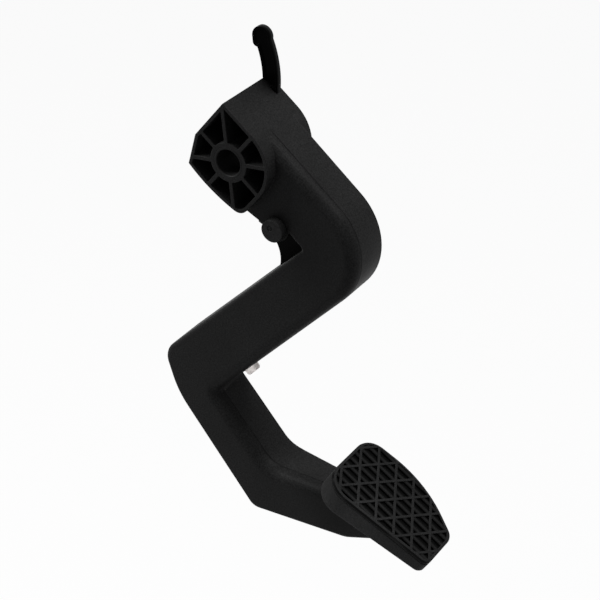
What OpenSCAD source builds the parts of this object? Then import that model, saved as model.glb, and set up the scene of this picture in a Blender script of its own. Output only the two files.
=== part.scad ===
// Hanging clutch pedal: moulded arm with ribbed pivot hub, rubber tread pad,
// two pivot bushes, a plug-in switch finger, a push rod pin with its clip and a small stop buffer.
// Frame: the origin is on the pivot axis, in the plane of the hub's near end.
// Y runs along the pivot axis, away from the near end, Z is up and X points towards the tread.

/* [Pivot hub] */
// Length of the hub along the pivot axis
hub_len = 48.5; // [47:0.5:60]
// Radius of the hub's round side
hub_r = 27; // [24:0.5:32]
// Distance of the hub's back flat from the pivot axis
hub_back = 25.4; // [22:0.1:30]
// Slope of the hub's upper flat, down to its back
top_slope = 0.8; // [0:0.1:3]
// Greatest distance of the hub's lower side from the pivot axis
hub_drop = 24.2; // [22:0.1:26]
// Radius of the hub's slightly bowed lower side
hub_bow = 110; // [80:5:160]
// Distance of the middle of that bow behind the pivot axis
bow_back = 4; // [2:0.5:6]
// Distance of the hub's heel flat, between the back flat and the lower side, from the pivot axis
hub_heel = 25.1; // [23:0.1:26]
// Tilt of the heel flat from the back flat
heel_turn = 24; // [18:1:32]
// Radius of the hub's lower front corner
hub_corner = 7; // [5:0.5:9]
// Thickness of the hub's outer wall
hub_wall = 2.2; // [1.6:0.1:3.5]
// Outer radius of the pivot tube
tube_r = 12.4; // [11.5:0.1:14]
// Radius of the seat for the bushes inside the tube
seat_r = 9.7; // [9:0.1:10.5]
// Number of spokes between the tube and the outer wall
spokes = 8; // [4:4:12]
// Thickness of one spoke
spoke_t = 2.4; // [1.6:0.1:3.5]
// Depth of the pockets in the near end of the hub
near_pocket = 24; // [8:1:25]
// Depth of the pockets in the far end of the hub
far_pocket = 21; // [14:1:24]

/* [Bushes] */
// Bore radius of the bushes, for the pivot shaft
bush_bore_r = 8.2; // [7.5:0.1:8.6]
// Length of one bush
bush_len = 14; // [8:1:20]
// Chamfer at the open end of a bush
bush_chamfer = 0.4; // [0.2:0.1:1]
// Radial clearance between a bush and its seat
bush_gap = 0.03; // [0.01:0.01:0.1]

/* [Arm] */
// Distance from the hub's near end to the arm's near face
arm_y = 8; // [5:0.5:12]
// Width of the arm along the pivot axis
arm_w = 32; // [28:0.5:33]
// Downward angle of the upper run
upper_angle = 39; // [34:1:44]
// Depth of the upper run, from its upper face to its lower face
upper_depth = 36; // [33:0.5:40]
// How far the upper run's upper face lies below the hub's round side
upper_step = 0.05; // [0.05:0.05:1]
// Outer radius of the first bend
bend_r = 40.2; // [30:0.2:44]
// Angle of the middle run's upper face from the horizontal
middle_angle = 45; // [43:0.5:47]
// Distance of the middle run's upper face from the pivot axis
middle_top = 66; // [62:0.5:68]
// Angle of the middle run's lower face from the horizontal
under_angle = 46.3; // [45:0.1:49]
// Distance of the middle run's lower face from the pivot axis
middle_under = 103.9; // [102:0.1:108]
// Angle of the lower run's front face from the vertical
lower_angle = 41.3; // [38:0.1:44]
// Angle of the lower run's back face from the vertical
back_angle = 39.2; // [36:0.1:42]
// Distance of the lower run's front face from the pivot axis
lower_front = 128; // [125:0.1:130]
// Distance of the lower run's back face from the pivot axis
lower_back = 152.1; // [150:0.1:155]
// Angle of the knee face, above the lower run, from the vertical
knee_angle = 18.3; // [14:0.1:24]
// Distance of the knee face from the pivot axis
knee_out = 103.4; // [101:0.1:106]
// Depth of the foot's upper face below the pivot axis
foot_top = 215.5; // [213:0.5:219]
// Distance of the foot's lower face from the pivot axis
foot_bottom = 249.8; // [246:0.1:253]
// Rise of the foot's lower face towards the tread
foot_rise = 2.8; // [0:0.1:5]
// Distance in front of the pivot axis where the foot turns up to the tread
foot_reach = 77; // [70:1:92]
// Angle at which the foot turns up to the tread
foot_turn = 20; // [15:1:45]
// Place in front of the pivot axis from which the far side tapers to the tread
taper_from = 22; // [10:1:40]
// Taper of the far side to the tread
far_side_taper = 10; // [0:0.5:11]
// Radius of the large rounding along the front edges
edge_r = 8; // [4:0.5:9]
// Radius of the small rounding along the back edges
edge_small = 2.5; // [1:0.5:4]
// Depth of the fine parting groove on the front faces
parting = 0.25; // [0.1:0.05:0.4]
// Wall thickness of the arm, which is open and ribbed on its far side
arm_wall = 4; // [3:0.5:6]
// Thickness of the ribs inside the arm
rib_t = 2.6; // [1.8:0.2:4]
// Spacing of the ribs inside the arm
rib_pitch = 25; // [18:1:30]
// How far the ribs stay below the arm's far edge
rib_set = 2; // [0.5:0.5:5]

/* [Push rod fork] */
// Distance of the pin from the pivot, along the upper run
pin_u = 45.5; // [44:0.5:48]
// Distance of the pin below the pivot, square to the upper run
pin_v = 12.7; // [11.5:0.1:14]
// Radius of the pin
pin_r = 5; // [4:0.25:5.5]
// Radius of the pin's head
head_r = 7.1; // [6.5:0.1:8]
// Thickness of the pin's head
head_t = 5; // [3:0.5:6]
// Radius of the near lug round the pin
lug_r = 8.5; // [8:0.1:9.5]
// Distance of the near lug's lower edge from the pivot axis
lug_drop = 26.2; // [25:0.1:28]
// Angle of the near lug's lower edge from the horizontal
lug_angle = 26.3; // [22:0.1:30]
// Thickness of the near lug
lug_t = 6; // [4:0.5:7]
// Width of the slot for the push rod's eye
slot_w = 10; // [8:0.5:12]
// Radius of the room for the push rod's eye
eye_r = 12; // [10:0.5:13]
// Thickness of the far web, which is the fork's other side
web_t = 6; // [4:0.5:7]
// Radius of the hollow free edge of the web
web_r = 22.3; // [20:0.1:24]
// Distance of that hollow's middle behind the pin
web_back = 29.3; // [27:0.1:31]
// Distance of that hollow's middle below the pin
web_down = 30.5; // [29:0.1:32]
// Distance of the web's free corner, below the hub, in front of the pivot axis
web_start = 5; // [3:0.5:7]
// Depth to which the fork's faces are cut flat round the pin
facing = 0.5; // [0.2:0.1:1]
// Radial clearance of the pin in its holes
pin_gap = 0.05; // [0.02:0.01:0.1]
// Outer radius of the clip on the pin's end
clip_r = 8; // [7:0.25:8.5]
// Thickness of the clip
clip_t = 1.2; // [0.8:0.1:2]
// Clearance on each side of the clip
clip_gap = 0.05; // [0.02:0.01:0.1]
// Radial room round the clip
clip_room = 0.8; // [0.4:0.1:1.5]
// Depth of the pin's groove that holds the clip
groove = 0.8; // [0.5:0.1:1.2]

/* [Switch finger] */
// Distance of the finger's far face from the hub's far end
finger_end = 3; // [2:0.25:4]
// Thickness of the finger
finger_t = 4; // [3:0.25:4.5]
// Distance of the finger's root behind the pivot, along the hub's upper flat
finger_u = 19; // [18:0.25:19.5]
// Length of the finger from its root to the middle of its tip
finger_l = 30.4; // [26:0.1:38]
// Width of the finger
finger_w = 10.4; // [9:0.1:11]
// Radius of the finger's bend
finger_bend = 62; // [50:1:80]
// Forward lean of the finger at its root
finger_lean = 2.8; // [0:0.2:8]
// Radius of the rounded tip
tip_r = 6.2; // [5.5:0.1:7]
// Radius of the nose on the tip's back side
nose_r = 3; // [2.5:0.1:4]
// How far the nose stands out of the tip
nose_out = 1.7; // [1:0.1:3]
// Direction of the nose from the middle of the tip
nose_angle = 234; // [225:1:245]
// Depth of the recess in the finger's near face
finger_recess = 0.8; // [0.4:0.1:1.4]
// Width of the rim round that recess
finger_rim = 1.7; // [1:0.1:2.5]
// Width of the tenon that plugs into the hub
tenon_w = 4; // [3:0.25:5]
// Distance of the tenon from the front edge of the finger's root
tenon_set = 0.8; // [0.4:0.1:1.5]
// Length of the tenon
tenon_l = 5; // [3.5:0.25:6]
// Clearance round the tenon in its slot
tenon_gap = 0.1; // [0.05:0.05:0.3]

/* [Tread] */
// Distance of the tread's reference point in front of the pivot axis
tread_x = 90.7; // [88:0.1:94]
// Depth of the tread's reference point below the pivot axis
tread_z = 207.1; // [204:0.1:210]
// Downward slope of the tread
tread_slope = 32; // [29:0.5:35]
// Reach of the pad above its reference point
pad_up = 24.6; // [22:0.1:30]
// Reach of the pad below its reference point
pad_down = 56.8; // [50:0.1:62]
// Distance of the pad's near side from the arm's middle
pad_near = 28.1; // [25:0.1:32]
// Taper of the pad's near side
near_taper = 7.5; // [3:0.1:9]
// Distance of the pad's far side from the arm's middle
pad_far = 26.9; // [25:0.1:30]
// Slope of the far side down to the pad's upper end
far_slope = 8; // [3:0.5:10]
// Distance of the pad's slanting far side from the arm's middle
pad_slant = 36.8; // [34:0.1:40]
// Taper of the slanting far side
far_taper = 29; // [20:0.5:34]
// Radius of the bowed far side between those two lines
far_bow = 75; // [50:5:90]
// Thickness of the rubber pad at its lower end, from its face to its back
pad_t = 12; // [10.5:0.25:13]
// How much thicker the pad is at its upper end
pad_wedge = 7; // [0:0.5:9]
// Depth of the pattern in the pad's face
pattern_depth = 2; // [1:0.25:2.5]
// How far the long ribs stay below the diamond ridges
rib_low = 0.5; // [0.25:0.25:0.75]
// Width of one diamond, across the pad
diamond_w = 24; // [18:0.5:30]
// Length of one diamond, along the pad
diamond_l = 14.9; // [11:0.1:20]
// Width of one diamond ridge
ridge_w = 1.7; // [1:0.1:2.5]
// Width of the plain border round the pattern
border = 2; // [1.5:0.25:4]
// Thickness of the arm's plate inside the pad
plate_t = 3.5; // [3:0.25:4]
// Thickness of the rubber over the plate
cover_t = 5; // [4:0.25:5]
// Thickness of the rubber wall round the plate
wrap = 3; // [2.5:0.25:4]
// Width of the rubber lip behind the plate
lip_w = 6; // [4:0.5:8]
// Clearance between the rubber and the arm
pad_gap = 0.05; // [0.02:0.01:0.2]

/* [Stop buffer] */
// Length of the buffer along the middle run
buffer_l = 9.5; // [7:0.5:16]
// Height of the buffer below the middle run
buffer_h = 5; // [3:0.5:7]
// Thickness of the buffer along the pivot axis
buffer_t = 6; // [4:0.5:6.5]
// Distance of the buffer from the arm's far side
buffer_in = 1; // [0.5:0.5:4]
// Distance of the buffer from the inner corner of the second bend
buffer_set = 8; // [7:0.5:14]
// Radius of the stud that holds the buffer
stud_r = 1.8; // [1.2:0.1:2.2]

/* [Hidden] */
$fn = 64;
eps = 0.5;

far_y = arm_y + arm_w;
mid_y = arm_y + arm_w / 2;
slot_y = arm_y + lug_t;
web_y = slot_y + slot_w;
clip_y = web_y + web_t - facing;
finger_y = hub_len - finger_end - finger_t;
tenon_u = finger_w / 2 - finger_u - tenon_w - tenon_set;

// A straight face in a plane is [angle of its outward normal, distance from the origin]
function dir(a) = [cos(a), sin(a)];
function turn(a, b) = (b - a + 900) % 360 - 180;
function meet(f, g) =
    let (m = dir(f[0]), n = dir(g[0]), det = m[0] * n[1] - m[1] * n[0])
    [(f[1] * n[1] - g[1] * m[1]) / det, (g[1] * m[0] - f[1] * n[0]) / det];
function inset(f, d) = [f[0], f[1] - d];

// Corner between two faces, moved in by d and e, rounded to a radius that follows the insets
function steps(r, a) = r < 1 ? 0 : ceil(abs(a) * sqrt(r) / 30);
function corner(f, g, r, d = 0, e = 0) =
    let (a = turn(f[0], g[0]), n = steps(r, a), mean = (d + e) / 2)
    let (q = a > 0 ? max(r - mean, 0.05) : -r - mean)
    let (c = meet(inset(f, d + q), inset(g, e + q)))
    n == 0 ? [meet(inset(f, d), inset(g, e))]
           : [for (k = [0 : n]) c + q * dir(f[0] + a * k / n)];
function outline(faces, radii, insets) =
    let (n = len(faces))
    [for (i = [0 : n - 1])
        let (j = (i + 1) % n)
        each corner(faces[i], faces[j], radii[i], insets[i], insets[j])];

// Faces of the arm in the X-Z plane, anticlockwise from the cut through the hub
plate_line = [90 - tread_slope, tread_x * sin(tread_slope) - tread_z * cos(tread_slope)
              - cover_t - plate_t / 2];
bottom_face = [270 + foot_rise, foot_bottom];
turn_at = meet(bottom_face, [0, foot_reach]);
turn_face = [foot_turn - 90, turn_at * dir(foot_turn - 90)];
arm_faces = [
    [180 - upper_angle, 0],
    [270 - upper_angle, upper_depth - hub_r + upper_step],
    [90 + middle_angle, -middle_top],
    [180 + knee_angle, knee_out],
    [180 + back_angle, lower_back],
    bottom_face,
    turn_face,
    plate_line,
    [90, -foot_top],
    [lower_angle, -lower_front],
    [under_angle - 90, middle_under],
    [90 - upper_angle, hub_r - upper_step]
];
arm_radii = [0, 2, 14, 60, 9, 20, 0, 0, 20, 3, bend_r, 0];
arm_edges = [0, edge_small, edge_small, edge_small, edge_small, edge_small, edge_small, 0,
             edge_r, edge_r, edge_r, edge_r];
function even(d) = [for (f = arm_faces) d];

// Rounding of the arm's edges, as the inset at a depth below the near face
function round_in(r, depth) = depth < r ? r - sqrt(r * r - (r - depth) * (r - depth)) : 0;
far_rings = [
    [far_y, [for (r = arm_edges) min(r, 0.6)]],
    [far_y - 0.8, even(0)]
];
seam_rings = [for (s = [[0.3, 0], [0, 1], [-0.3, 0]])
    [arm_y + edge_r + s[0], [for (r = arm_edges) r == edge_r ? parting * s[1] : 0]]];
near_rings = [for (t = [6.6, 5.2, 3.8, 2.6, 1.8, 1, 0.35, 0])
    [arm_y + t, [for (r = arm_edges) round_in(r, t)]]];
arm_rings = concat(far_rings, seam_rings, near_rings);

// Triangles between the two sides of a long outline, always across the shorter gap
function across(p, a, b) =
    b - a < 2 ? []
    : norm(p[a + 1] - p[b]) < norm(p[b - 1] - p[a])
        ? concat([[a, a + 1, b]], across(p, a + 1, b))
        : concat([[a, b - 1, b]], across(p, a, b - 1));

// Solid through matching rings of points, listed upwards, each anticlockwise seen from above
module skin(rings) {
    n = len(rings[0]);
    top = (len(rings) - 1) * n;
    points = [for (ring = rings) each ring];
    sides = [for (j = [0 : n : top - 1], i = [0 : n - 1])
        let (k = (i + 1) % n)
        each [[j + i, j + n + k, j + k], [j + i, j + n + i, j + n + k]]];
    lower = across(rings[0], 0, n - 1);
    upper = [for (t = across(rings[len(rings) - 1], 0, n - 1)) [top + t[2], top + t[1], top + t[0]]];
    polyhedron(points, concat(lower, sides, upper), convexity = 10);
}

// Draws a shape given in the X-Z plane between two places along the pivot axis
module along_y(from, to) {
    translate([0, to, 0]) rotate([90, 0, 0]) linear_extrude(to - from) children();
}

// The hub's own frame has its first axis along the upper run
module hub_frame() {
    rotate([0, upper_angle, 0]) children();
}

module at_pin() {
    hub_frame() translate([pin_u, 0, -pin_v]) children();
}

// The tread's own frame has its first axis down the tread and its third out of its face
module tread_frame() {
    translate([tread_x, mid_y, -tread_z]) rotate([0, tread_slope, 0]) children();
}

module rod(r, from, to) {
    translate([0, to, 0]) rotate([90, 0, 0]) cylinder(r = r, h = to - from);
}

// Hub outline: a quarter circle, a square upper corner, a heel flat and a bowed lower side
module hub_shape(in) {
    r = hub_r - in;
    front = 12;
    back = [180, hub_back - in];
    heel = [180 + heel_turn, hub_heel - in];
    low = [270 + front, hub_bow + (hub_drop - hub_bow) * cos(front) - bow_back * sin(front)];
    intersection() {
        circle(r);
        square(r);
    }
    intersection() {
        polygon(concat(
            [[0, r], meet([90 + top_slope, r], back), meet(back, heel), meet(heel, low)],
            corner(low, [0, hub_r], hub_corner, in, in),
            [[r, 0], [0, 0]]
        ));
        translate([-bow_back, hub_bow - hub_drop]) circle(hub_bow - in, $fn = 180);
    }
}

module hub_pockets() {
    difference() {
        hub_shape(hub_wall);
        circle(tube_r);
        for (k = [0 : spokes - 1])
            rotate(k * 360 / spokes)
                translate([0, -spoke_t / 2]) square([2 * hub_r, spoke_t]);
    }
}

module arm_solid() {
    difference() {
        skin([for (ring = arm_rings)
            [for (p = outline(arm_faces, arm_radii, ring[1])) [p[0], ring[0], p[1]]]]);
        translate([taper_from, far_y, -foot_bottom - eps])
            rotate([0, 0, -far_side_taper]) cube([foot_bottom, arm_w, foot_bottom - foot_top + 3 * eps]);
    }
}

// Room inside the arm, clear of the hub, the fork and the tread plate
module arm_room(in) {
    ends = [for (i = [0 : len(arm_faces) - 1])
        i == 0 ? hub_r + arm_wall : i == 7 ? plate_t + 2 * arm_wall : in];
    difference() {
        polygon(outline(arm_faces, arm_radii, ends));
        rotate(-upper_angle) translate([pin_u, -pin_v]) circle(eye_r + arm_wall);
    }
}

module rib_grid() {
    reach = 2 * foot_bottom;
    for (k = [-12 : 12]) {
        translate([k * rib_pitch - rib_t / 2, -reach]) square([rib_t, 2 * reach]);
        translate([-reach, k * rib_pitch - rib_t / 2]) square([2 * reach, rib_t]);
    }
}

// Hollow of the arm, with the ribs left standing below its far edge
module arm_hollow() {
    along_y(far_y - rib_set, far_y + eps) arm_room(arm_wall);
    along_y(arm_y + arm_wall, far_y - rib_set)
        difference() {
            arm_room(arm_wall);
            rib_grid();
        }
}

pin_at = [pin_u * cos(upper_angle) - pin_v * sin(upper_angle),
          -pin_u * sin(upper_angle) - pin_v * cos(upper_angle)];

// Near lug, which runs from the hub's lower corner round the head of the pin
module near_lug() {
    edge = [270 - lug_angle, lug_drop];
    overlap = 1.5;
    along_y(arm_y, slot_y + facing) {
        translate(pin_at) circle(lug_r);
        polygon([[0, eps - hub_drop], meet(edge, [0, 1]), meet(edge, [0, pin_at[0] - lug_r + overlap]),
                 pin_at + (lug_r - 0.3) * dir(30), [20, 0]]);
    }
}

// Far web of the fork, with its hollow free edge
module far_web() {
    heel = meet(inset(arm_faces[1], arm_wall / 2), inset(arm_faces[2], arm_wall / 2));
    hollow = pin_at - [web_back, web_down];
    run = 1.2 * (heel[0] - hollow[0]);
    along_y(web_y - facing, web_y + web_t)
        difference() {
            polygon([[web_start, -hub_drop], [web_start, hollow[1]], heel + run * dir(180 + middle_angle),
                     heel, [30, -20]]);
            translate(hollow) circle(web_r, $fn = 96);
        }
}

// Pad outline in the tread's frame
pad_faces = [[180, pad_up], [270 + near_taper, pad_near], [0, pad_down],
             [90 - far_taper, pad_slant], [90 + far_slope, pad_far]];
pad_radii = [16, 5, 9, far_bow, 14];
function pad_outline(in) = outline(pad_faces, pad_radii, [for (f = pad_faces) in]);

module tread_plate() {
    tread_frame() translate([0, 0, -cover_t - plate_t])
        linear_extrude(plate_t) polygon(pad_outline(wrap));
}

module slab(from, to) {
    translate([0, 0, from]) linear_extrude(to - from) children();
}

module pin_holes() {
    at_pin() {
        rod(pin_r + pin_gap, arm_y - eps, far_y);
        rod(clip_r + clip_room, clip_y, far_y + eps);
        rod(eye_r, slot_y, web_y);
    }
}

module finger_slot() {
    hub_frame()
        translate([tenon_u - tenon_gap, finger_y - tenon_gap, hub_r - hub_wall - eps])
            cube([tenon_w + 2 * tenon_gap, finger_t + 2 * tenon_gap, hub_wall + 2 * eps]);
}

module buffer_frame() {
    heel = meet(arm_faces[9], arm_faces[10]);
    translate([heel[0], far_y - buffer_in - buffer_t, heel[1]])
        rotate([0, -under_angle, 0]) translate([buffer_set, 0, 0]) children();
}

module buffer_stud(r, h) {
    translate([buffer_l / 2, buffer_t / 2, 0]) cylinder(r = r, h = h);
}

module pedal_arm() {
    color([0.12, 0.12, 0.12])
        difference() {
            union() {
                hub_frame() along_y(0, hub_len) hub_shape(0);
                arm_solid();
                near_lug();
                far_web();
                tread_plate();
            }
            arm_hollow();
            hub_frame() {
                along_y(-eps, near_pocket) hub_pockets();
                along_y(hub_len - far_pocket, hub_len + eps) hub_pockets();
                rod(seat_r, -eps, hub_len + eps);
            }
            pin_holes();
            finger_slot();
            buffer_frame() translate([0, 0, -eps]) buffer_stud(stud_r + pin_gap, arm_wall + 2 * eps);
        }
}

// One rounded slab of rubber, thicker at its upper end, with a fine groove below its face:
// each ring is [height, inset, share of the wedge]
pad_rings = [[-pad_t, 1.8, 1], [-pad_t + 0.5, 0.6, 1], [-pad_t + 1.6, 0, 1], [-3.6, 0, 0], [-3.3, 0.6, 0],
             [-2.8, 0.6, 0], [-2.5, 0, 0], [-1.1, 0, 0], [-0.35, 0.3, 0], [0, 1, 0]];

module pad_solid() {
    slope = pad_wedge / (pad_up + pad_down);
    skin([for (ring = pad_rings)
        [for (p = pad_outline(ring[1])) [p[0], p[1], ring[0] - ring[2] * slope * (pad_down - p[0])]]]);
}

module diamond_ridges() {
    reach = pad_up + pad_down;
    lean = atan2(diamond_w, diamond_l);
    for (k = [-6 : 6], side = [-1, 1])
        translate([k * diamond_l, 0]) rotate(side * lean)
            translate([-reach, -ridge_w / 2]) square([2 * reach, ridge_w]);
}

module long_ribs() {
    pitch = diamond_w / 4;
    reach = pad_up + pad_down;
    for (k = [-6 : 6])
        translate([-reach, (k - 0.25) * pitch]) square([2 * reach, pitch / 2]);
}

module pad_field() {
    polygon(pad_outline(border));
}

module pedal_pad() {
    color([0.14, 0.14, 0.14])
        difference() {
            tread_frame()
                difference() {
                    pad_solid();
                    slab(-rib_low, eps) difference() {
                        pad_field();
                        diamond_ridges();
                    }
                    slab(-pattern_depth, 0) difference() {
                        pad_field();
                        diamond_ridges();
                        long_ribs();
                    }
                    slab(-cover_t - plate_t - pad_gap, -cover_t + pad_gap)
                        polygon(pad_outline(wrap - pad_gap));
                    slab(-pad_t - pad_wedge - eps, -cover_t - plate_t) polygon(pad_outline(wrap + lip_w));
                }
            along_y(arm_y - pad_gap, far_y + pad_gap)
                polygon(outline(arm_faces, arm_radii, even(-pad_gap)));
        }
}

module bush() {
    rotate([-90, 0, 0])
        rotate_extrude()
            polygon([
                [bush_bore_r + bush_chamfer, 0],
                [seat_r - bush_gap, 0],
                [seat_r - bush_gap, bush_len],
                [bush_bore_r, bush_len],
                [bush_bore_r, bush_chamfer]
            ]);
}

module near_bush() {
    color([0.16, 0.16, 0.16]) bush();
}

module far_bush() {
    color([0.16, 0.16, 0.16]) translate([0, hub_len, 0]) mirror([0, 1, 0]) bush();
}

// Finger outline in the X-Z plane: a bent blade, and a rounded tip with a nose
root = finger_u * dir(180 - upper_angle) + hub_r * dir(90 - upper_angle);
bend_c = root - finger_bend * dir(-finger_lean);
sweep = finger_l * 180 / PI / finger_bend;

module blade(r_in, r_out, from, to) {
    n = 16;
    polygon(concat(
        [for (k = [0 : n]) bend_c + r_out * dir(from + (to - from) * k / n)],
        [for (k = [n : -1 : 0]) bend_c + r_in * dir(from + (to - from) * k / n)]
    ));
}

module finger_shape(in) {
    tip = -finger_lean + sweep;
    c = bend_c + finger_bend * dir(tip);
    nose = c + (tip_r - nose_r + nose_out) * dir(nose_angle);
    r_in = finger_bend - finger_w / 2 + in;
    r_out = finger_bend + finger_w / 2 - in;
    below = 2 * finger_w * 180 / PI / finger_bend;
    difference() {
        union() {
            blade(r_in, r_out, -finger_lean - below, tip);
            hull() {
                translate(c) circle(tip_r - in, $fn = 32);
                translate(nose) circle(nose_r - in, $fn = 32);
            }
        }
        rotate(-upper_angle) translate([-2 * hub_r, -hub_r]) square([4 * hub_r, 2 * hub_r]);
    }
}

module switch_finger() {
    color([0.05, 0.05, 0.05]) {
        difference() {
            along_y(finger_y, finger_y + finger_t) finger_shape(0);
            along_y(finger_y - eps, finger_y + finger_recess) finger_shape(finger_rim);
        }
        hub_frame()
            translate([tenon_u, finger_y, hub_r - tenon_l])
                cube([tenon_w, finger_t, tenon_l + 1]);
    }
}

module push_rod_pin() {
    dimple = 1.8;
    end = clip_y + clip_t + 2;
    color([0.13, 0.13, 0.13])
        at_pin()
            difference() {
                union() {
                    rod(head_r, arm_y - head_t, arm_y);
                    rod(pin_r, arm_y - eps, end);
                }
                difference() {
                    rod(pin_r + eps, clip_y + clip_gap, clip_y + clip_t + 3 * clip_gap);
                    rod(pin_r - groove, clip_y, clip_y + clip_t + eps);
                }
                translate([-2, 0, 0.4])
                    difference() {
                        rod(dimple, arm_y - head_t - eps, arm_y - head_t + 0.5);
                        rod(dimple / 2, arm_y - head_t - 2 * eps, arm_y - head_t + eps);
                    }
            }
}

module pin_clip() {
    bore = pin_r - groove + pin_gap;
    from = clip_y + 2 * clip_gap;
    color([0.45, 0.45, 0.47])
        at_pin()
            difference() {
                rod(clip_r, from, from + clip_t);
                rod(bore, clip_y - eps, clip_y + clip_t + eps);
                translate([-clip_r - eps, clip_y - eps, -bore * 0.8])
                    cube([clip_r + eps, clip_t + 2 * eps, bore * 1.6]);
            }
}

module stop_buffer() {
    soft = 1;
    color([0.78, 0.74, 0.73])
        buffer_frame() {
            translate([0, buffer_t, 0]) rotate([90, 0, 0]) linear_extrude(buffer_t)
                polygon([[0, 0], [1, -buffer_h + soft], [1 + soft, -buffer_h],
                         [buffer_l - 1 - soft, -buffer_h], [buffer_l - 1, -buffer_h + soft],
                         [buffer_l, 0]]);
            translate([0, 0, -soft]) buffer_stud(stud_r, arm_wall + soft);
        }
}

pedal_arm();
pedal_pad();
near_bush();
far_bush();
switch_finger();
push_rod_pin();
pin_clip();
stop_buffer();
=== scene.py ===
"""Looks of a hanging clutch pedal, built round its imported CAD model. Lengths are in metres."""

import math

import bpy
from mathutils import Matrix, Vector

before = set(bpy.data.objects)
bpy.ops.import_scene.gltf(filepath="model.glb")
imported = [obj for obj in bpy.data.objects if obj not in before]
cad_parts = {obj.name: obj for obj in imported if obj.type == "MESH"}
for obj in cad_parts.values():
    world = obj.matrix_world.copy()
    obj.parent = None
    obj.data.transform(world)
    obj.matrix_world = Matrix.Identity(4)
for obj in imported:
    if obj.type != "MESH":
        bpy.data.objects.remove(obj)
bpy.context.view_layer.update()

MM = 0.001


def slope(degrees):
    """The direction in the XZ plane at this angle above the X axis."""
    return Vector((math.cos(math.radians(degrees)), 0, math.sin(math.radians(degrees))))


# Camera, fitted to the place of the pivot in the picture and to the scale there
FRAME_PX = 600
PIVOT_PX = (228.0, 163.0)
PIVOT_MM_PER_PX = 0.575
CAMERA_AZIMUTH = 32
CAMERA_ELEVATION = 31
CAMERA_DISTANCE = 1.05
SENSOR_MM = 36

# Arm: its upper run's direction, the parting groove with the half widths of the painted shade in it, and
# the recess in the fork, which holds painted shade too
ALONG_ARM = slope(-39)
GROOVE_Y = 16 * MM
GROOVE_DARK = 0.3 * MM
GROOVE_SOFT = 0.9 * MM
GROOVE_START = (2 * MM, 8 * MM)
GROOVE_LUMP = 9 * MM
FORK_RECESS = (0.024, 0.020, -0.056)
FORK_SIZE = 30 * MM
FORK_NEAR_Y = (10 * MM, 12 * MM)
FORK_FAR_Y = (26 * MM, 24 * MM)

# Tread pad: a point on its face, the way the face looks, and the pattern of long ribs below the ridges,
# with painted shade between the ribs and over the face
TREAD_POINT = Vector((90.7, 24, -207.1)) * MM
TREAD_OUT = slope(58)
RIB_PITCH = 6 * MM
RIB_SIDE = (0.2 * MM, 1.1 * MM)
PITCHES_ASIDE = 40
RIB_TOP = (0.25 * MM, 0.45 * MM)
RIB_FLOOR = (2.4 * MM, 2.2 * MM)
FACE_SHADE_BAND = (2.6 * MM, 2.4 * MM)

# Switch finger: where the painted shade on its near face gives way to its greyer rim
FINGER_SHADE_EDGE_Y = (42.6 * MM, 43.4 * MM)

# Soft patches of painted shade (tone below 1) and painted light (tone above 1): centre, size and tone
ARM_PAINTED_LIGHT_AND_SHADE = (
    ((0.045, 0.008, -0.045), 0.055, 0.55),
    ((0.072, 0.008, -0.232), 0.030, 0.45),
    ((0.024, 0.008, -0.050), 0.020, 0.75),
    ((0.053, 0.014, -0.216), 0.026, 0.65),
    ((0.050, 0.009, -0.011), 0.020, 0.75),
    ((0.008, 0.008, -0.133), 0.020, 1.2),
    ((0.001, 0.042, 0.035), 0.014, 0.3),
)
# Painted light on the pad's near wall, and painted shade at its left end
PAD_PAINTED_LIGHT_AND_SHADE = (
    ((0.089, -0.002, -0.219), 0.030, 1.5),
    ((0.072, -0.002, -0.200), 0.022, 0.75),
)

# Moulded surfaces: lumps of uneven tone, and edges lightened as wear and partly as painted highlight
LUMP_SIZE = 28 * MM
RUB_WIDTH = 0.7 * MM
RUB_LUMP = 5 * MM
EDGE_WEAR_AND_HIGHLIGHT_GREYS = (0.03, 0.05)

# Edges of the meshes
SMOOTH_ANGLE = 38
BEVEL_ANGLE = 50
WELD_DISTANCE = 0.001 * MM

# Studio
MIDDLE = (0.04, 0.02, -0.09)
LAMP_SIZE = 0.6
WORLD_STRENGTH = 0.2
FLOOR_HALF = 3.0
FLOOR_Z = -0.75
FLOOR_SEEN_WHITE = 0.93


def make_camera():
    """Looks at the pivot from the photograph's side, with the pivot off the picture's middle."""
    a, e = math.radians(CAMERA_AZIMUTH), math.radians(CAMERA_ELEVATION)
    back = Vector((math.sin(a) * math.cos(e), -math.cos(a) * math.cos(e), math.sin(e)))
    right = Vector((math.cos(a), math.sin(a), 0))
    up = back.cross(right)
    scale = PIVOT_MM_PER_PX * MM
    across = (FRAME_PX / 2 - PIVOT_PX[0]) * scale
    above = (PIVOT_PX[1] - FRAME_PX / 2) * scale
    data = bpy.data.cameras.new("camera")
    data.sensor_width = SENSOR_MM
    data.lens = SENSOR_MM * CAMERA_DISTANCE / (FRAME_PX * scale)
    camera = bpy.data.objects.new("camera", data)
    camera.matrix_world = (
        Matrix.Translation(right * across + up * above + back * CAMERA_DISTANCE)
        @ Matrix((right, up, back)).transposed().to_4x4()
    )
    bpy.context.scene.collection.objects.link(camera)
    bpy.context.scene.camera = camera


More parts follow.
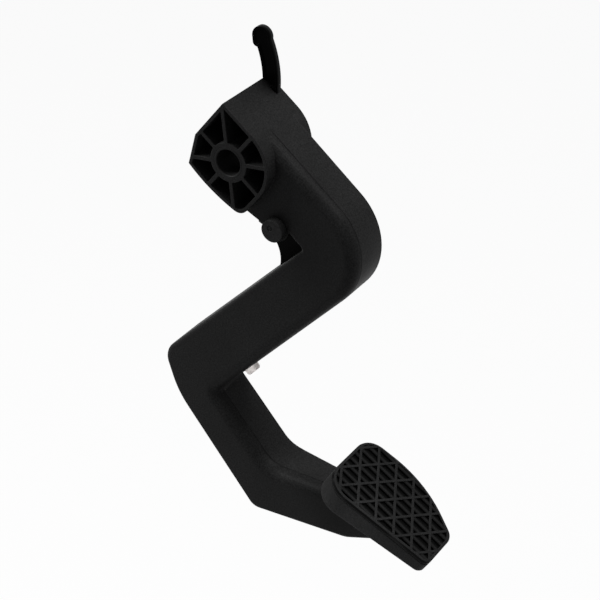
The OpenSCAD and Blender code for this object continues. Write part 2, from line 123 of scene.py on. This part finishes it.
class Nodes:
    """A new material, with short ways to add and link its shader nodes."""

    def __init__(self, name):
        self.material = bpy.data.materials.new(name)
        self.material.use_nodes = True
        self.tree = self.material.node_tree
        self.shader = self.tree.nodes["Principled BSDF"]
        self.place = self.add("ShaderNodeTexCoord").outputs["Object"]

    def add(self, kind, **values):
        """A new node. Each value goes to a property of the node or else to its input socket."""
        node = self.tree.nodes.new(kind)
        for key, value in values.items():
            if hasattr(node, key):
                setattr(node, key, value)
            else:
                node.inputs[key.replace("_", " ").title()].default_value = value
        return node

    def link(self, output, node, socket):
        self.tree.links.new(output, node.inputs[socket])

    def noise(self, size, detail=2.0, rough=0.5):
        """Noise whose lumps are about the given size."""
        node = self.add("ShaderNodeTexNoise", scale=1 / size, detail=detail, roughness=rough)
        self.link(self.place, node, "Vector")
        return node.outputs["Fac"]

    def along_pivot(self):
        """The Y coordinate, which runs along the pivot axis."""
        node = self.add("ShaderNodeSeparateXYZ")
        self.link(self.place, node, "Vector")
        return node.outputs["Y"]

    def along(self, direction):
        """The distance from the origin along a direction."""
        node = self.add("ShaderNodeVectorMath", operation="DOT_PRODUCT")
        self.link(self.place, node, 0)
        node.inputs[1].default_value = direction
        return node.outputs["Value"]

    def limits(self, value, start, end, low, high, soft=False):
        """The value, mapped from start to end onto low to high."""
        node = self.add("ShaderNodeMapRange", interpolation_type="SMOOTHSTEP" if soft else "LINEAR")
        sockets = ("From Min", "From Max", "To Min", "To Max")
        for socket, number in zip(sockets, (start, end, low, high)):
            node.inputs[socket].default_value = number
        self.link(value, node, "Value")
        return node.outputs["Result"]

    def lerp(self, value, low, high):
        """The value, mapped from 0 to 1 onto low to high."""
        return self.limits(value, 0, 1, low, high)

    def spread(self, noise, low, high):
        """Noise, which is mostly between 0.3 and 0.7, mapped onto low to high."""
        return self.limits(noise, 0.3, 0.7, low, high)

    def ramp(self, value, low, high, a, b):
        """From colour a to colour b as the value goes from low to high."""
        node = self.add("ShaderNodeValToRGB")
        first, last = node.color_ramp.elements
        first.position, first.color = low, (*a, 1)
        last.position, last.color = high, (*b, 1)
        self.link(value, node, "Fac")
        return node.outputs["Color"]

    def blend(self, factor, a, b):
        """Colour a where the factor is 0, and colour b where it is 1."""
        node = self.add("ShaderNodeMix", data_type="RGBA")
        self.link(factor, node, 0)
        self.link(a, node, 6)
        self.link(b, node, 7)
        return node.outputs[2]

    def product(self, a, b):
        node = self.add("ShaderNodeMath", operation="MULTIPLY", use_clamp=True)
        self.link(a, node, 0)
        self.link(b, node, 1)
        return node.outputs[0]

    def times(self, colour, factor):
        """The colour, multiplied by a factor."""
        node = self.add("ShaderNodeVectorMath", operation="SCALE")
        self.link(colour, node, 0)
        self.link(factor, node, "Scale")
        return node.outputs[0]

    def tone(self, factor):
        """Multiplies the colour that the shader has so far by a factor."""
        colour = self.shader.inputs["Base Color"].links[0].from_socket
        self.link(self.times(colour, factor), self.shader, "Base Color")

    def edges(self, width):
        """1 along the edges, out to the given width, and 0 elsewhere."""
        soft = self.add("ShaderNodeBevel", samples=6)
        soft.inputs["Radius"].default_value = width
        flat = self.add("ShaderNodeNewGeometry")
        match = self.add("ShaderNodeVectorMath", operation="DOT_PRODUCT")
        self.link(soft.outputs["Normal"], match, 0)
        self.link(flat.outputs["Normal"], match, 1)
        return self.limits(match.outputs["Value"], 0.995, 0.8, 0, 1)

    def patch(self, centre, size):
        """A soft round patch, 1 at its centre and 0 beyond its size."""
        away = self.add("ShaderNodeVectorMath", operation="DISTANCE")
        self.link(self.place, away, 0)
        away.inputs[1].default_value = centre
        return self.limits(away.outputs["Value"], 0, size, 1, 0, soft=True)

    def bump(self, value, depth):
        """Relief of the given depth."""
        node = self.add("ShaderNodeBump", strength=1.0, distance=depth)
        self.link(value, node, "Height")
        return node.outputs["Normal"]


def grey(value):
    return (value, value, value)


def moulded(name, dark, light, rough, grain, depth, specular, edge=0.0, painted_light_and_shade=()):
    """Moulded plastic or rubber with fine grain and uneven tone and gloss.

    The edges are lightened where edge is above 0, as wear and partly as painted highlight, and each
    patch of painted light and shade is a soft patch (centre, size, tone) in which the colour is
    multiplied by the tone.
    """
    n = Nodes(name)
    fine = n.noise(grain, detail=3.0, rough=0.6)
    broad = n.noise(LUMP_SIZE, detail=3.0)
    colour = n.ramp(fine, 0.32, 0.68, dark, light)
    colour = n.times(colour, n.spread(broad, 0.85, 1.15))
    # Patches of painted shade and painted light, multiplied into the colour
    for centre, size, tone in painted_light_and_shade:
        colour = n.times(colour, n.lerp(n.patch(centre, size), 1.0, tone))
    # Edges lightened: wear, and on the finger's rim also a painted highlight
    if edge:
        wear_and_highlight_mask = n.product(n.edges(RUB_WIDTH), n.spread(n.noise(RUB_LUMP, detail=4.0), 0.1, 1.0))
        wear_and_highlight = n.ramp(fine, 0.3, 0.7, *map(grey, EDGE_WEAR_AND_HIGHLIGHT_GREYS))
        colour = n.blend(n.lerp(wear_and_highlight_mask, 0.0, edge), colour, wear_and_highlight)
    n.link(colour, n.shader, "Base Color")
    n.link(n.spread(broad, rough - 0.05, rough + 0.06), n.shader, "Roughness")
    n.link(n.bump(fine, depth), n.shader, "Normal")
    n.shader.inputs["Specular IOR Level"].default_value = specular
    return n


def arm_nylon():
    """The arm's nylon, with painted shade along the parting groove and in the recess of the fork."""
    n = moulded(
        "arm_nylon", grey(0.004), grey(0.017), rough=0.5, grain=0.9 * MM, depth=0.07 * MM,
        specular=0.05, edge=0.3, painted_light_and_shade=ARM_PAINTED_LIGHT_AND_SHADE,
    )
    y = n.along_pivot()
    # Painted shade along the parting groove: darker colour and weaker reflection there
    groove_shade = n.product(
        n.limits(y, GROOVE_Y - GROOVE_SOFT, GROOVE_Y - GROOVE_DARK, 0, 1),
        n.limits(y, GROOVE_Y + GROOVE_SOFT, GROOVE_Y + GROOVE_DARK, 0, 1),
    )
    groove_shade = n.product(groove_shade, n.limits(n.along(ALONG_ARM), *GROOVE_START, 0, 1))
    groove_shade = n.product(groove_shade, n.spread(n.noise(GROOVE_LUMP, detail=3.0), 0.5, 1.0))
    n.tone(n.lerp(groove_shade, 1.0, 0.4))
    # Painted shade in the fork's recess: the colour there is darkened to 5 % and its reflection nearly
    # taken away
    recess = n.limits(n.patch(FORK_RECESS, FORK_SIZE), 0.15, 0.5, 0, 1)
    for ends in (FORK_NEAR_Y, FORK_FAR_Y):
        recess = n.product(recess, n.limits(y, *ends, 0, 1))
    painted_recess_shade = n.lerp(recess, 1.0, 0.05)
    n.tone(painted_recess_shade)
    # Painted shade in the reflections: the specular tint is lowered in the fork's recess and along the
    # groove
    shaded_reflection_tint = n.add("ShaderNodeCombineColor")
    for channel in ("Red", "Green", "Blue"):
        n.link(n.product(painted_recess_shade, n.lerp(groove_shade, 1.0, 0.65)), shaded_reflection_tint, channel)
    n.link(shaded_reflection_tint.outputs["Color"], n.shader, "Specular Tint")
    return n


def finger_plastic():
    """Smooth black plastic, painted in deep shade on the near face and greyer round its edge."""
    n = moulded(
        "finger_plastic", grey(0.0007), grey(0.0011), rough=0.35, grain=0.6 * MM, depth=0.01 * MM,
        specular=0.01, edge=0.35,
    )
    # The near face's painted shade: the colour is 16 times lighter beyond it, on the rim
    n.tone(n.limits(n.along_pivot(), *FINGER_SHADE_EDGE_Y, 1.0, 16.0))
    return n


def tread_rubber():
    """The pad's rubber, with painted shade a little over its face and dark between the long ribs there.
    """
    n = moulded(
        "pad_rubber", grey(0.0085), grey(0.0225), rough=0.55, grain=0.8 * MM, depth=0.04 * MM,
        specular=0.05, painted_light_and_shade=PAD_PAINTED_LIGHT_AND_SHADE,
    )
    above = n.along(TREAD_OUT)
    face = TREAD_POINT.dot(TREAD_OUT)

    def below_face(depths, low, high):
        return n.limits(above, face - depths[0], face - depths[1], low, high)

    in_pattern = n.product(below_face(RIB_TOP, 0.0, 1.0), below_face(RIB_FLOOR, 0.0, 1.0))
    across = n.add("ShaderNodeMath", operation="ADD")
    n.link(n.along_pivot(), across, 0)
    across.inputs[1].default_value = PITCHES_ASIDE * RIB_PITCH - TREAD_POINT.y
    fold = n.add("ShaderNodeMath", operation="PINGPONG")
    n.link(across.outputs[0], fold, 0)
    fold.inputs[1].default_value = RIB_PITCH / 2
    # Painted shade between the long ribs
    rib_gap_shade = n.add("ShaderNodeMix", data_type="FLOAT")
    n.link(in_pattern, rib_gap_shade, 0)
    rib_gap_shade.inputs[2].default_value = 1.0
    n.link(n.limits(fold.outputs[0], *RIB_SIDE, 0.75, 0.04), rib_gap_shade, 3)
    # Painted shade over the pad's face
    n.tone(below_face(FACE_SHADE_BAND, 1.0, 0.82))
    n.tone(rib_gap_shade.outputs[0])
    return n


def buffer_rubber():
    """Pale rubber that lets some light through."""
    n = moulded(
        "buffer_rubber", (0.86, 0.81, 0.79), (0.94, 0.89, 0.87), rough=0.5, grain=0.8 * MM,
        depth=0.03 * MM, specular=0.3,
    )
    n.shader.inputs["Transmission Weight"].default_value = 0.9
    n.shader.inputs["IOR"].default_value = 1.3
    return n


def steel():
    """Plain spring steel."""
    n = Nodes("clip_steel")
    n.shader.inputs["Metallic"].default_value = 1
    fine = n.noise(0.4 * MM, detail=4.0)
    n.link(n.ramp(fine, 0.3, 0.7, (0.42, 0.42, 0.43), (0.6, 0.6, 0.61)), n.shader, "Base Color")
    n.link(n.spread(fine, 0.3, 0.45), n.shader, "Roughness")
    return n


def shade_by_angle(limit):
    """Geometry nodes that smooth every face and keep edges over the limit sharp."""
    group = bpy.data.node_groups.new("smooth_by_angle", "GeometryNodeTree")
    for way in ("INPUT", "OUTPUT"):
        group.interface.new_socket("Geometry", in_out=way, socket_type="NodeSocketGeometry")
    source = group.nodes.new("NodeGroupInput")
    target = group.nodes.new("NodeGroupOutput")
    smooth = group.nodes.new("GeometryNodeSetShadeSmooth")
    sharp = group.nodes.new("GeometryNodeSetShadeSmooth")
    sharp.domain = "EDGE"
    sharp.inputs["Shade Smooth"].default_value = False
    angle = group.nodes.new("GeometryNodeInputMeshEdgeAngle")
    over = group.nodes.new("FunctionNodeCompare")
    over.operation = "GREATER_THAN"
    over.inputs["B"].default_value = math.radians(limit)
    links = group.links
    links.new(source.outputs[0], smooth.inputs["Geometry"])
    links.new(smooth.outputs[0], sharp.inputs["Geometry"])
    links.new(angle.outputs["Unsigned Angle"], over.inputs["A"])
    links.new(over.outputs["Result"], sharp.inputs["Selection"])
    links.new(sharp.outputs[0], target.inputs[0])
    return group


def dress(piece, material):
    piece.data.materials.clear()
    piece.data.materials.append(material)


def round_edges(piece, width, shading):
    """Joins a CAD node's faces, breaks its sharp edges and shades it smoothly."""
    weld = piece.modifiers.new("weld", "WELD")
    weld.merge_threshold = WELD_DISTANCE
    bevel = piece.modifiers.new("bevel", "BEVEL")
    bevel.width = width
    bevel.segments = 3
    bevel.limit_method = "ANGLE"
    bevel.angle_limit = math.radians(BEVEL_ANGLE)
    bevel.use_clamp_overlap = False
    bevel.loop_slide = False
    piece.modifiers.new("smooth", "NODES").node_group = shading
    piece.modifiers.new("normals", "WEIGHTED_NORMAL").keep_sharp = True


def area_light(name, place, power):
    """A round lamp that looks at the middle of the pedal."""
    data = bpy.data.lights.new(name, "AREA")
    data.shape = "DISK"
    data.size = LAMP_SIZE
    data.energy = power
    lamp = bpy.data.objects.new(name, data)
    lamp.location = place
    lamp.rotation_euler = (Vector(place) - Vector(MIDDLE)).to_track_quat("Z", "Y").to_euler()
    bpy.context.scene.collection.objects.link(lamp)


def white_seen(tree, shader, glow_kind, share, surface):
    """The surface: white, by the given share, for the camera and in reflections, and else the shader."""
    nodes, links = tree.nodes, tree.links
    path = nodes.new("ShaderNodeLightPath")
    seen = path.outputs["Is Camera Ray"]
    for ray in ("Is Glossy Ray", "Is Transmission Ray"):
        either = nodes.new("ShaderNodeMath")
        either.operation = "MAXIMUM"
        links.new(seen, either.inputs[0])
        links.new(path.outputs[ray], either.inputs[1])
        seen = either.outputs[0]
    part = nodes.new("ShaderNodeMath")
    part.operation = "MULTIPLY"
    part.inputs[1].default_value = share
    links.new(seen, part.inputs[0])
    glow = nodes.new(glow_kind)
    glow.inputs["Color"].default_value = (1, 1, 1, 1)
    glow.inputs["Strength"].default_value = 1
    mix = nodes.new("ShaderNodeMixShader")
    links.new(part.outputs[0], mix.inputs[0])
    links.new(shader.outputs[0], mix.inputs[1])
    links.new(glow.outputs[0], mix.inputs[2])
    links.new(mix.outputs[0], surface)


def make_world():
    world = bpy.data.worlds.new("studio")
    bpy.context.scene.world = world
    world.use_nodes = True
    tree = world.node_tree
    soft = tree.nodes["Background"]
    soft.inputs["Color"].default_value = (0.93, 0.96, 1, 1)
    soft.inputs["Strength"].default_value = WORLD_STRENGTH
    surface = tree.nodes["World Output"].inputs["Surface"]
    white_seen(tree, soft, "ShaderNodeBackground", 1.0, surface)


def make_floor():
    """A plain pale floor, which keeps a faint shadow."""
    sides = ((-1, -1), (1, -1), (1, 1), (-1, 1))
    corners = [(x * FLOOR_HALF, y * FLOOR_HALF, FLOOR_Z) for x, y in sides]
    mesh = bpy.data.meshes.new("floor")
    mesh.from_pydata(corners, [], [(0, 1, 2, 3)])
    floor = bpy.data.objects.new("floor", mesh)
    bpy.context.scene.collection.objects.link(floor)
    material = bpy.data.materials.new("floor")
    material.use_nodes = True
    tree = material.node_tree
    paint = tree.nodes["Principled BSDF"]
    paint.inputs["Base Color"].default_value = (0.8, 0.8, 0.8, 1)
    paint.inputs["Roughness"].default_value = 0.8
    surface = tree.nodes["Material Output"].inputs["Surface"]
    white_seen(tree, paint, "ShaderNodeEmission", FLOOR_SEEN_WHITE, surface)
    mesh.materials.append(material)


make_camera()

nylon = arm_nylon()
rubber = tread_rubber()
bush = moulded(
    "bush_plastic", grey(0.007), grey(0.013), rough=0.45, grain=0.6 * MM, depth=0.01 * MM,
    specular=0.05, edge=0.4,
)
pin = moulded(
    "pin_plastic", grey(0.007), grey(0.019), rough=0.5, grain=0.9 * MM, depth=0.04 * MM,
    specular=0.05, edge=0.3,
)
shading = shade_by_angle(SMOOTH_ANGLE)
for node, look, width in (
    ("pedal_arm", nylon, 0.3 * MM),
    ("pedal_pad", rubber, 0.2 * MM),
    ("near_bush", bush, 0.15 * MM),
    ("far_bush", bush, 0.15 * MM),
    ("switch_finger", finger_plastic(), 0.3 * MM),
    ("push_rod_pin", pin, 0.3 * MM),
    ("pin_clip", steel(), 0.1 * MM),
    ("stop_buffer", buffer_rubber(), 0.4 * MM),
):
    dress(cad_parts[node], look.material)
    round_edges(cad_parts[node], width, shading)

area_light("key", (0.64, 0.17, 1.27), 18)
area_light("side", (-1.01, -0.43, 0.88), 23)
make_world()
make_floor()
bpy.context.scene.view_settings.view_transform = "Standard"
